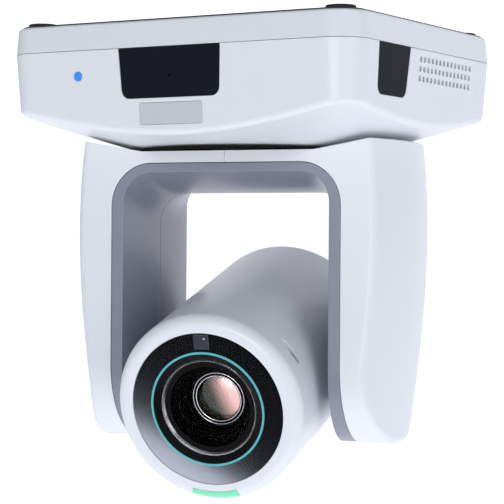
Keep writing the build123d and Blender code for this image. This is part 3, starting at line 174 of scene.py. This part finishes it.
def buildToolMarks():
    # fine lines left by rolling, turning or brushing, drawn out along one axis
    tree, entry, result = newGroup(
        "toolMarks",
        [("Stretch", "NodeSocketVector", (40.0, 4000.0, 4000.0)), ("Normal", "NodeSocketVector", (0, 0, 0)),
         ("Depth", "NodeSocketFloat", 0.000008)],
        [("Normal", "NodeSocketVector"), ("Line", "NodeSocketFloat")])
    stretch = addNode(tree, "ShaderNodeVectorMath", operation="MULTIPLY")
    tree.links.new(objectPoint(tree), stretch.inputs[0])
    tree.links.new(entry.outputs["Stretch"], stretch.inputs[1])
    noise = addNode(tree, "ShaderNodeTexNoise")
    noise.inputs["Scale"].default_value = 1.0
    noise.inputs["Detail"].default_value = 2.0
    tree.links.new(stretch.outputs[0], noise.inputs["Vector"])
    bump = addNode(tree, "ShaderNodeBump")
    tree.links.new(noise.outputs["Fac"], bump.inputs["Height"])
    tree.links.new(entry.outputs["Depth"], bump.inputs["Distance"])
    tree.links.new(entry.outputs["Normal"], bump.inputs["Normal"])
    tree.links.new(bump.outputs["Normal"], result.inputs["Normal"])
    tree.links.new(noise.outputs["Fac"], result.inputs["Line"])
    return tree


softEdge = buildSoftEdge()
toneDrift = buildToneDrift()
handledSheen = buildHandledSheen()
toolMarks = buildToolMarks()
print("shader groups built")


# ---- finishes ----
def placeGroup(tree, group, **values):
    node = addNode(tree, "ShaderNodeGroup", node_tree=group)
    for label, value in values.items():
        socket = node.inputs[label.replace("_", " ")]
        if isinstance(value, bpy.types.NodeSocket):
            tree.links.new(value, socket)
        else:
            socket.default_value = value
    return node


def newFinish(name):
    material = bpy.data.materials.new(name)
    material.use_nodes = True
    tree = material.node_tree
    return material, tree, tree.nodes["Principled BSDF"]


def mouldedFinish(name, colour, roughness=0.4, grain=2500.0, depth=0.000012, edge=0.0003, drift=0.05,
                  dust=0.0, edgeHighlight=0.0, spread=0.06, specular=0.5, coat=0.0, metal=0.0):
    material, tree, shader = newFinish(name)
    soft = placeGroup(tree, softEdge, Radius=edge, Grain_Scale=grain, Grain_Depth=depth)
    tone = placeGroup(tree, toneDrift, Colour=(*colour, 1), Drift=drift, Dust=dust, Edge=soft.outputs["Edge"],
                      Edge_Lift=edgeHighlight)
    sheen = placeGroup(tree, handledSheen, Roughness=roughness, Spread=spread, Mask=tone.outputs["Mask"])
    tree.links.new(tone.outputs["Colour"], shader.inputs["Base Color"])
    tree.links.new(sheen.outputs["Roughness"], shader.inputs["Roughness"])
    tree.links.new(soft.outputs["Normal"], shader.inputs["Normal"])
    shader.inputs["Specular IOR Level"].default_value = specular
    shader.inputs["Coat Weight"].default_value = coat
    shader.inputs["Coat Roughness"].default_value = 0.08
    shader.inputs["Metallic"].default_value = metal
    return material


def metalFinish(name, colour, roughness=0.3, stretch=(40.0, 4000.0, 4000.0), depth=0.000006, edge=0.0002,
                drift=0.15, spread=0.12):
    material, tree, shader = newFinish(name)
    soft = placeGroup(tree, softEdge, Radius=edge, Grain_Scale=3500.0, Grain_Depth=0.000003)
    marks = placeGroup(tree, toolMarks, Stretch=stretch, Normal=soft.outputs["Normal"], Depth=depth)
    tone = placeGroup(tree, toneDrift, Colour=(*colour, 1), Drift=drift, Edge=soft.outputs["Edge"],
                      Edge_Lift=0.2)
    sheen = placeGroup(tree, handledSheen, Roughness=roughness, Spread=spread, Scale=120.0)
    tree.links.new(tone.outputs["Colour"], shader.inputs["Base Color"])
    tree.links.new(sheen.outputs["Roughness"], shader.inputs["Roughness"])
    tree.links.new(marks.outputs["Normal"], shader.inputs["Normal"])
    shader.inputs["Metallic"].default_value = 1.0
    return material


def glowFinish(name, colour, glow, strength, roughness=0.25):
    material, tree, shader = newFinish(name)
    soft = placeGroup(tree, softEdge, Radius=0.0003, Grain_Scale=1800.0, Grain_Depth=0.000004)
    tone = placeGroup(tree, toneDrift, Colour=(*colour, 1), Drift=0.06, Edge=soft.outputs["Edge"],
                      Edge_Lift=0.4)
    lit = placeGroup(tree, toneDrift, Colour=(*glow, 1), Drift=0.3, Edge=soft.outputs["Edge"], Edge_Lift=0.3)
    sheen = placeGroup(tree, handledSheen, Roughness=roughness, Spread=0.05)
    tree.links.new(tone.outputs["Colour"], shader.inputs["Base Color"])
    tree.links.new(lit.outputs["Colour"], shader.inputs["Emission Color"])
    tree.links.new(sheen.outputs["Roughness"], shader.inputs["Roughness"])
    tree.links.new(soft.outputs["Normal"], shader.inputs["Normal"])
    shader.inputs["Emission Strength"].default_value = strength
    shader.inputs["Coat Weight"].default_value = 0.4
    return material


def coatedGlass(name, tint, mirrorTint, mirrorLevel, bend=1.5):
    material, tree, shader = newFinish(name)
    sheen = placeGroup(tree, handledSheen, Roughness=0.012, Spread=0.012, Scale=90.0)
    tone = placeGroup(tree, toneDrift, Colour=(*tint, 1), Drift=0.04)
    tree.links.new(sheen.outputs["Roughness"], shader.inputs["Roughness"])
    tree.links.new(tone.outputs["Colour"], shader.inputs["Base Color"])
    shader.inputs["Transmission Weight"].default_value = 1.0
    shader.inputs["IOR"].default_value = bend
    shader.inputs["Specular Tint"].default_value = (*mirrorTint, 1)
    shader.inputs["Specular IOR Level"].default_value = mirrorLevel
    return material


def paintedReflectionLens(name, deep, reflectionTint, span, lean=0.35):
    # painted reflection in the base colour: near black on one side, a painted warm reflection of a soft box
    # on the other
    material, tree, shader = newFinish(name)
    sheen = placeGroup(tree, handledSheen, Roughness=0.24, Spread=0.03, Scale=90.0)
    centre = addNode(tree, "ShaderNodeMapping", vector_type="TEXTURE")
    centre.inputs["Location"].default_value = headSpace.to_translation()
    centre.inputs["Rotation"].default_value = headSpace.to_euler()
    tree.links.new(objectPoint(tree), centre.inputs["Vector"])
    part = addNode(tree, "ShaderNodeSeparateXYZ")
    tree.links.new(centre.outputs["Vector"], part.inputs[0])
    slant = mathNode(tree, "ADD", part.outputs["X"], mathNode(tree, "MULTIPLY", part.outputs["Z"], lean))
    reflectionShare = addNode(tree, "ShaderNodeMapRange", interpolation_type="SMOOTHSTEP")
    tree.links.new(slant, reflectionShare.inputs["Value"])
    reflectionShare.inputs["From Min"].default_value, reflectionShare.inputs["From Max"].default_value = span
    coat = addNode(tree, "ShaderNodeMix", data_type="RGBA")
    tree.links.new(reflectionShare.outputs["Result"], coat.inputs[0])
    coat.inputs[6].default_value = (*deep, 1)
    coat.inputs[7].default_value = (*reflectionTint, 1)
    tree.links.new(coat.outputs[2], shader.inputs["Base Color"])
    tree.links.new(reflectionShare.outputs["Result"], shader.inputs["Metallic"])
    tree.links.new(sheen.outputs["Roughness"], shader.inputs["Roughness"])
    shader.inputs["Coat Weight"].default_value = 0.6
    shader.inputs["Coat Roughness"].default_value = 0.03
    return material


shellTone = {"white": (0.80, 0.82, 0.87), "roughness": 0.36, "grain": 2600.0}
linerTone = {"grey": (0.25, 0.265, 0.335), "roughness": 0.30}
headTone = {"silver": (0.80, 0.82, 0.88), "roughness": 0.33}

shellWhite = mouldedFinish("shellWhite", shellTone["white"], shellTone["roughness"], shellTone["grain"],
                           dust=0.25)
linerGrey = mouldedFinish("linerGrey", linerTone["grey"], linerTone["roughness"], 2200.0, 0.000008,
                          edge=0.0008, edgeHighlight=0.3)
headSilver = mouldedFinish("headSilver", headTone["silver"], headTone["roughness"], 3200.0, 0.000006,
                           coat=0.15)
bezelGrey = mouldedFinish("bezelGrey", (0.50, 0.53, 0.60), 0.11, 400.0, 0.0000002, edge=0.0, metal=1.0,
                          spread=0.02)
windowDark = mouldedFinish("windowDark", (0.011, 0.013, 0.020), 0.12, 1500.0, 0.0000004, edgeHighlight=0.05,
                           spread=0.04, specular=0.03)
sensorDark = mouldedFinish("sensorDark", (0.05, 0.06, 0.075), 0.1, 1500.0, 0.000001, edgeHighlight=0.5, spread=0.03,
                           coat=0.3)
accentTeal = glowFinish("accentTeal", (0.07, 0.40, 0.45), (0.08, 0.50, 0.56), 0.22)
tallyGreen = glowFinish("tallyGreen", (0.16, 0.70, 0.42), (0.12, 0.72, 0.36), 0.17)
lightBlue = glowFinish("lightBlue", (0.03, 0.22, 0.62), (0.02, 0.22, 0.75), 0.45, 0.12)
lensBlack = mouldedFinish("lensBlack", (0.004, 0.004, 0.0045), 0.45, 3000.0, 0.000003, edgeHighlight=0.03,
                          specular=0.12)
funnelBlack = mouldedFinish("funnelBlack", (0.0015, 0.0015, 0.0015), 0.4, 3000.0, 0.0000005, edgeHighlight=0.01,
                            specular=0.05)
trimBright = metalFinish("trimBright", (0.82, 0.82, 0.84), 0.18, (900.0, 900.0, 900.0), 0.000002)
frontGlass = coatedGlass("frontGlass", (1.0, 1.0, 1.0), (0.75, 0.6, 1.0), 0.03, 1.06)
# the zoom lens carries a painted reflection in its base colour
zoomGlass = paintedReflectionLens("zoomGlass", (0.018, 0.022, 0.013), (0.95, 0.58, 0.54), (-0.003675, 0.007875))
focusGlass = coatedGlass("focusGlass", (0.90, 0.97, 0.88), (0.35, 1.0, 0.45), 1.0)
powderBlack = mouldedFinish("powderBlack", (0.030, 0.031, 0.034), 0.55, 1600.0, 0.00003, dust=0.7, edgeHighlight=0.12)
footRubber = mouldedFinish("footRubber", (0.022, 0.022, 0.024), 0.72, 1400.0, 0.00003, dust=0.6, edgeHighlight=0.08)
# near black for the ring of painted shade under the base
paintedShadeBlack = mouldedFinish("paintedShadeBlack", (0.006, 0.006, 0.007), 0.9, 1400.0, 0.00002, edge=0.0, specular=0.1)
socketBlack = mouldedFinish("socketBlack", (0.016, 0.016, 0.018), 0.35, 2400.0, 0.00001, edgeHighlight=0.15)
acetalCream = mouldedFinish("acetalCream", (0.74, 0.72, 0.66), 0.42, 2000.0, 0.000008, drift=0.15)
maskGreen = mouldedFinish("maskGreen", (0.012, 0.10, 0.045), 0.3, 900.0, 0.00002, drift=0.4, coat=0.3)
screwSteel = metalFinish("screwSteel", (0.50, 0.50, 0.52), 0.32, (2500.0, 2500.0, 60.0))
sheetSteel = metalFinish("sheetSteel", (0.58, 0.59, 0.61), 0.35, (60.0, 3000.0, 3000.0))
turnedMetal = metalFinish("turnedMetal", (0.72, 0.73, 0.75), 0.28, (300.0, 300.0, 5000.0))
cutBrass = metalFinish("cutBrass", (0.72, 0.53, 0.24), 0.3, (3000.0, 3000.0, 80.0))
motorCan = metalFinish("motorCan", (0.42, 0.42, 0.45), 0.38, (80.0, 80.0, 2500.0))
platedShell = metalFinish("platedShell", (0.66, 0.67, 0.70), 0.26, (2000.0, 60.0, 2000.0))
badgeBrushed = mouldedFinish("badgeBrushed", (0.71, 0.73, 0.79), 0.3, 1200.0, 0.000006, drift=0.1,
                             metal=0.25, edgeHighlight=0.4)
contactGold = metalFinish("contactGold", (0.90, 0.66, 0.28), 0.22, (60.0, 3000.0, 3000.0))
print("finishes built")

nodeFinish = {
    shellWhite: ("upper_shell", "lower_shell", "left_cover", "right_cover"),
    linerGrey: ("liner_front", "liner_rear", "tilt_collars"),
    headSilver: ("head_barrel", "rear_cap"),
    bezelGrey: ("bezel",),
    windowDark: ("front_window", "side_windows"),
    sensorDark: ("sensor_window",),
    accentTeal: ("accent_ring",),
    tallyGreen: ("tally_light",),
    lightBlue: ("status_led",),
    lensBlack: ("lens_hood", "zoom_carriage", "focus_carriage"),
    funnelBlack: ("lens_barrel",),
    trimBright: ("trim_ring",),
    frontGlass: ("front_lens",),
    zoomGlass: ("zoom_lens",),
    focusGlass: ("focus_lens",),
    powderBlack: ("mount_plate", "socket_panel"),
    footRubber: ("rubber_feet",),
    socketBlack: ("dc_jack", "serial_socket", "audio_socket", "infrared_receiver"),
    platedShell: ("hdmi_socket", "usb_socket", "lan_socket", "video_socket"),
    acetalCream: ("pan_bush", "pan_gear", "tilt_bushes", "tilt_gear", "head_posts"),
    maskGreen: ("main_board", "sensor_board", "image_board"),
    screwSteel: ("case_screws", "deck_screws", "yoke_screws", "cap_screws", "tilt_shafts", "board_standoffs"),
    sheetSteel: ("motor_deck", "yoke_frame", "head_frame"),
    turnedMetal: ("pan_hub",),
    cutBrass: ("pan_pinion", "tilt_pinion"),
    motorCan: ("pan_motor", "tilt_motor", "zoom_motor", "focus_motor"),
    badgeBrushed: ("badge_plate",),
}
for finish, names in nodeFinish.items():
    for name in names:
        slots = nodes[name].material_slots
        for slot in slots:
            slot.material = finish
        if not slots:
            nodes[name].data.materials.append(finish)
print("finishes on %d nodes" % sum(len(names) for names in nodeFinish.values()))


# ---- pieces that repeat, made with geometry nodes ----
def newPiece(name, mesh, finish, body):
    piece = bpy.data.objects.new(name, mesh)
    bpy.context.collection.objects.link(piece)
    mesh.materials.clear()
    mesh.materials.append(finish)
    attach(piece, body)
    return piece


def plainMesh(name, build):
    mesh = bpy.data.meshes.new(name)
    shape = bmesh.new()
    build(shape)
    bmesh.ops.recalc_face_normals(shape, faces=shape.faces)
    shape.to_mesh(mesh)
    shape.free()
    return mesh


def newSpread(name, inputs):
    tree = bpy.data.node_groups.new(name, "GeometryNodeTree")
    sockets = {}
    tree.interface.new_socket("Geometry", in_out="INPUT", socket_type="NodeSocketGeometry")
    for label, kind, value in inputs:
        socket = tree.interface.new_socket(label, in_out="INPUT", socket_type=kind)
        socket.default_value = value
        sockets[label] = socket.identifier
    tree.interface.new_socket("Geometry", in_out="OUTPUT", socket_type="NodeSocketGeometry")
    return tree, tree.nodes.new("NodeGroupInput"), tree.nodes.new("NodeGroupOutput"), sockets


def finishSpread(tree, points, shape, rotation, finish, result):
    scatter = addNode(tree, "GeometryNodeInstanceOnPoints")
    tree.links.new(points, scatter.inputs["Points"])
    tree.links.new(shape, scatter.inputs["Instance"])
    if rotation is not None:
        tree.links.new(rotation, scatter.inputs["Rotation"])
    real = addNode(tree, "GeometryNodeRealizeInstances")
    tree.links.new(scatter.outputs[0], real.inputs[0])
    paint = addNode(tree, "GeometryNodeSetMaterial")
    paint.inputs["Material"].default_value = finish
    tree.links.new(real.outputs[0], paint.inputs["Geometry"])
    tree.links.new(paint.outputs[0], result.inputs[0])


def buildRowTree(finish):
    # a row of small blocks along X
    tree, entry, result, sockets = newSpread("contactRow", [
        ("Count", "NodeSocketInt", 8), ("Pitch", "NodeSocketFloat", 0.001),
        ("Size", "NodeSocketVector", (1, 1, 1))])
    line = addNode(tree, "GeometryNodeMeshLine", mode="OFFSET")
    offset = addNode(tree, "ShaderNodeCombineXYZ")
    tree.links.new(entry.outputs["Count"], line.inputs["Count"])
    tree.links.new(entry.outputs["Pitch"], offset.inputs["X"])
    tree.links.new(offset.outputs[0], line.inputs["Offset"])
    block = addNode(tree, "GeometryNodeMeshCube")
    tree.links.new(entry.outputs["Size"], block.inputs["Size"])
    finishSpread(tree, line.outputs[0], block.outputs[0], None, finish, result)
    return tree, sockets


def buildRingTree(finish):
    # small rods standing in a circle about Y
    tree, entry, result, sockets = newSpread("pinCircle", [
        ("Count", "NodeSocketInt", 8), ("Circle Radius", "NodeSocketFloat", 0.003),
        ("Rod Radius", "NodeSocketFloat", 0.0004), ("Rod Length", "NodeSocketFloat", 0.005)])
    circle = addNode(tree, "GeometryNodeMeshCircle")
    tree.links.new(entry.outputs["Count"], circle.inputs["Vertices"])
    tree.links.new(entry.outputs["Circle Radius"], circle.inputs["Radius"])
    rod = addNode(tree, "GeometryNodeMeshCylinder")
    rod.inputs["Vertices"].default_value = 12
    tree.links.new(entry.outputs["Rod Radius"], rod.inputs["Radius"])
    tree.links.new(entry.outputs["Rod Length"], rod.inputs["Depth"])
    finishSpread(tree, circle.outputs[0], rod.outputs["Mesh"], None, finish, result)
    return tree, sockets


def bakeSpread(name, treeAndSockets, values, place, body, finish):
    tree, sockets = treeAndSockets
    carrier = bpy.data.objects.new(name + "Carrier", bpy.data.meshes.new(name + "Carrier"))
    bpy.context.collection.objects.link(carrier)
    modifier = carrier.modifiers.new("spread", "NODES")
    modifier.node_group = tree
    for label, value in values.items():
        modifier[sockets[label]] = value
    bpy.context.view_layer.update()
    evaluated = carrier.evaluated_get(bpy.context.evaluated_depsgraph_get())
    mesh = bpy.data.meshes.new_from_object(evaluated)
    mesh.name = name
    carrier.modifiers.remove(modifier)
    bpy.data.objects.remove(carrier)
    mesh.transform(place)
    return newPiece(name, mesh, finish, body)


panelFace = 0.068708   # the sockets' outer faces on Y
boardUnder = -0.0166   # underside of the main board, where the sockets hang
rowTree = buildRowTree(contactGold)
pinTree = buildRingTree(contactGold)
lanPins = {"Count": 8, "Pitch": 0.00102, "Size": (0.00045, 0.0055, 0.0006)}
usbPins = {"Count": 9, "Pitch": 0.0008, "Size": (0.00042, 0.006, 0.0004)}
hdmiPins = {"Count": 12, "Pitch": 0.00095, "Size": (0.00042, 0.006, 0.0003)}
serialPins = {"Count": 8, "Circle Radius": 0.0029, "Rod Radius": 0.0004, "Rod Length": 0.005}


def rowPlace(centreX, values, y, z):
    start = centreX - (values["Count"] - 1) * values["Pitch"] / 2
    return Matrix.Translation((start, y, z))


bakeSpread("lan_contacts", rowTree, lanPins,
           rowPlace(0.0205, lanPins, panelFace - 0.0092, boardUnder - 0.0107),
           "base", contactGold)
bakeSpread("usb_contacts", rowTree, usbPins,
           rowPlace(0.0015, usbPins, panelFace - 0.0069, boardUnder - 0.0092),
           "base", contactGold)
bakeSpread("hdmi_contacts", rowTree, hdmiPins,
           rowPlace(-0.0165, hdmiPins, panelFace - 0.0069, boardUnder - 0.0060),
           "base", contactGold)
bakeSpread("serial_pins", pinTree, serialPins,
           Matrix.Translation((-0.036, panelFace - 0.0045, boardUnder - 0.0065))
           @ Matrix.Rotation(pi / 2, 4, "X"),
           "base", contactGold)
print("socket contacts placed")


def ringMesh(name, profile, space, steps=96):
    # turned about Y from (radius, y) points in metres, then set in its own space
    def build(shape):
        rings = []
        for step in range(steps):
            turn = 2 * pi * step / steps
            rings.append([shape.verts.new(space @ Vector((r * sin(turn), y, r * cos(turn))))
                          for r, y in profile])
        for step in range(steps):
            near, far = rings[step], rings[(step + 1) % steps]
            for spot in range(len(profile)):
                after = (spot + 1) % len(profile)
                shape.faces.new((near[spot], near[after], far[after], far[spot]))
    mesh = plainMesh(name, build)
    mesh.shade_smooth()
    return mesh


def roundBead(radius, y, thickness, corners=10):
    return [(radius + thickness * cos(2 * pi * spot / corners), y + thickness * sin(2 * pi * spot / corners))
            for spot in range(corners)]


# bright turned beads round the zooming lens and inside the hood
lensBeads = {"carriageFace": -0.0467, "outerRadius": 0.01175, "innerRadius": 0.01035, "thickness": 0.00022,
             "innerShare": 1.4}
newPiece("zoom_rim_outer", ringMesh("zoom_rim_outer", roundBead(
    lensBeads["outerRadius"], lensBeads["carriageFace"], lensBeads["thickness"]), headSpace), trimBright,
    "zoom_group")
newPiece("zoom_rim_inner", ringMesh("zoom_rim_inner", roundBead(
    lensBeads["innerRadius"], lensBeads["carriageFace"],
    lensBeads["thickness"] * lensBeads["innerShare"]), headSpace), trimBright,
    "zoom_group")
# small bright dot at the sensor window, a painted highlight
sensorHighlight = {"place": (0.0015, 0, 0.0323), "face": -0.0613, "radius": 0.00026, "thickness": 0.00025,
             "steps": 24}
newPiece("sensor_highlight", ringMesh(
    "sensor_highlight", roundBead(sensorHighlight["radius"], sensorHighlight["face"], sensorHighlight["thickness"]),
    headSpace @ Matrix.Translation(sensorHighlight["place"]), sensorHighlight["steps"]), trimBright,
    "head")
# black ring under the base, painted shade over the gap that the yoke turns in
shadeRing = {"inner": 0.028, "outer": 0.056, "top": -0.0555, "thickness": 0.0004}
newPiece("belly_painted_shade", ringMesh("belly_painted_shade", [
    (shadeRing["inner"], shadeRing["top"] - shadeRing["thickness"]),
    (shadeRing["outer"], shadeRing["top"] - shadeRing["thickness"]),
    (shadeRing["outer"], shadeRing["top"]), (shadeRing["inner"], shadeRing["top"])],
    Matrix.Rotation(pi / 2, 4, "X")), paintedShadeBlack, "base")
print("beads, sensor dot and seal placed")

# ---- floor, backdrop, lights and camera ----
studio = {"floorZ": -0.42, "halfWidth": 3.0, "front": -2.5, "bend": 1.6, "bendRadius": 0.8, "height": 2.4}


def buildSweep(shape):
    bend = [(studio["front"], studio["floorZ"])]
    for step in range(13):
        turn = pi / 2 * step / 12
        bend.append((studio["bend"] + studio["bendRadius"] * sin(turn),
                     studio["floorZ"] + studio["bendRadius"] * (1 - cos(turn))))
    bend.append((studio["bend"] + studio["bendRadius"], studio["height"]))
    rows = [[shape.verts.new((side * studio["halfWidth"], y, z)) for side in (-1, 1)] for y, z in bend]
    for near, far in zip(rows, rows[1:]):
        shape.faces.new((near[0], near[1], far[1], far[0]))


sweepMesh = plainMesh("sweep", buildSweep)
sweepMesh.shade_smooth()
sweep = bpy.data.objects.new("sweep", sweepMesh)
bpy.context.collection.objects.link(sweep)
sweepFinish, _, sweepShader = newFinish("sweepPaper")
sweepShader.inputs["Base Color"].default_value = (0.93, 0.935, 0.95, 1)
sweepShader.inputs["Roughness"].default_value = 0.9
sweepShader.inputs["Emission Color"].default_value = (0.96, 0.97, 1.0, 1)
sweepShader.inputs["Emission Strength"].default_value = 0.62
sweepMesh.materials.append(sweepFinish)

# dark card that only reflections see: it gives the bezel and the dark windows their deep side
flagLine = {"edge": (-0.145, -0.415), "away": (1, -0.5, 0), "reach": 2.0, "z": -0.40}


def buildFlag(shape):
    edge = Vector((*flagLine["edge"], flagLine["z"]))
    along = Vector((1, 1, 0)).normalized() * flagLine["reach"]
    away = Vector(flagLine["away"]).normalized() * flagLine["reach"]
    shape.faces.new([shape.verts.new(spot) for spot in (edge - along, edge + along, edge + along + away,
                                                        edge - along + away)])


flagMesh = plainMesh("flagCard", buildFlag)
flag = bpy.data.objects.new("flagCard", flagMesh)
bpy.context.collection.objects.link(flag)
flagFinish, _, flagShader = newFinish("flagFelt")
flagShader.inputs["Base Color"].default_value = (0.004, 0.004, 0.005, 1)
flagShader.inputs["Roughness"].default_value = 1.0
flagShader.inputs["Specular IOR Level"].default_value = 0.0
flagMesh.materials.append(flagFinish)
flag.visible_camera = False
flag.visible_diffuse = False
flag.visible_shadow = False
flag.visible_transmission = False

world = bpy.data.worlds.new("studioAir")
world.use_nodes = True
world.node_tree.nodes["Background"].inputs["Color"].default_value = (0.90, 0.93, 1.0, 1)
world.node_tree.nodes["Background"].inputs["Strength"].default_value = 0.34
bpy.context.scene.world = world


def softBox(name, place, aim, size, power, colour=(1, 1, 1)):
    light = bpy.data.lights.new(name, "AREA")
    light.shape = "RECTANGLE"
    light.size, light.size_y = size
    light.energy = power
    light.color = colour
    lamp = bpy.data.objects.new(name, light)
    aimed = (Vector(place) - Vector(aim)).to_track_quat("Z", "Y").to_matrix().to_4x4()
    lamp.matrix_world = Matrix.Translation(place) @ aimed
    bpy.context.collection.objects.link(lamp)
    return lamp


softBox("frontKey", (0.35, -1.7, -0.30), (0, 0, -0.15), (0.6, 0.6), 9.0)
softBox("rightFill", (1.6, -0.5, 0.1), (0, 0, -0.12), (1.0, 1.2), 3.8, (0.95, 0.97, 1.0))

camera = bpy.data.cameras.new("viewer")
camera.sensor_width = 36.0
camera.lens = 149.407
viewAngle = {"around": radians(30.558), "up": radians(0.449), "roll": radians(0.387)}
around, up, roll = viewAngle["around"], viewAngle["up"], viewAngle["roll"]
ahead = Vector((-sin(around) * cos(up), cos(around) * cos(up), sin(up)))
right = Vector((cos(around), sin(around), 0))
above = right.cross(ahead)
cameraRight = cos(roll) * right + sin(roll) * above
cameraUp = -sin(roll) * right + cos(roll) * above
viewer = bpy.data.objects.new("viewer", camera)
viewer.matrix_world = Matrix.Translation((0.491131, -0.833355, -0.108964)) @ Matrix(
    (cameraRight, cameraUp, -ahead)).transposed().to_4x4()
bpy.context.collection.objects.link(viewer)
bpy.context.scene.camera = viewer
bpy.context.scene.view_settings.view_transform = "Standard"
print("studio set")
